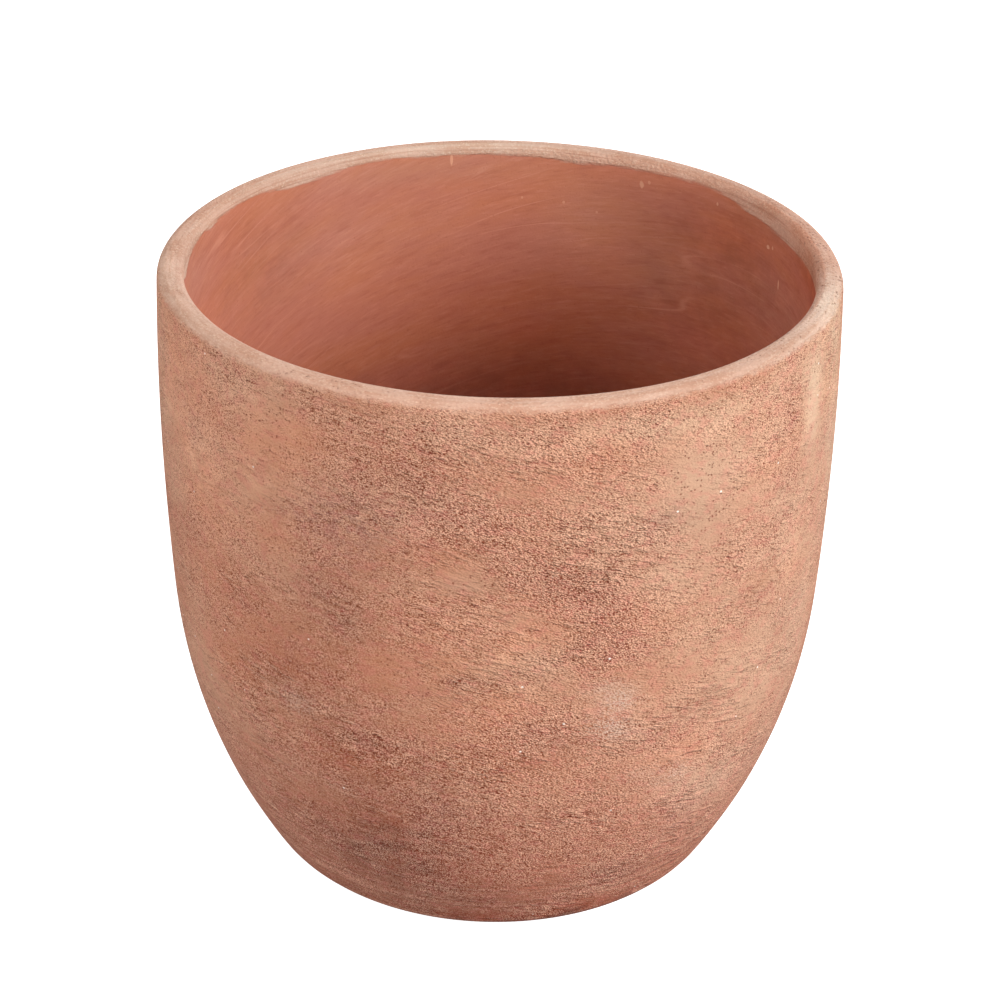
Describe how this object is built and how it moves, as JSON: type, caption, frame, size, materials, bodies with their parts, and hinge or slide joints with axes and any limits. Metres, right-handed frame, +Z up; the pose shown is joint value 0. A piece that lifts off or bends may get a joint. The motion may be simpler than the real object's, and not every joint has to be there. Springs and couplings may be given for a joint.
{
  "type": "terracotta planter",
  "caption": "Round terracotta floor planter: open tub with a softly rounded lip, a nearly straight side that curves in to a narrower foot, and a drain hole.",
  "frame": {"origin": "on the ground, at the centre of the foot", "axes": "+Z up along the axis the pot was turned about, +X to the right and -Y towards the camera of the picture"},
  "size_m": [0.3, 0.3, 0.284],
  "materials": {
    "terracotta": "unglazed, sandy slip outside, smooth slip on the lip, brushed bare clay inside"
  },
  "bodies": {
    "root": {"pot": "terracotta"}
  },
  "joints": []
}
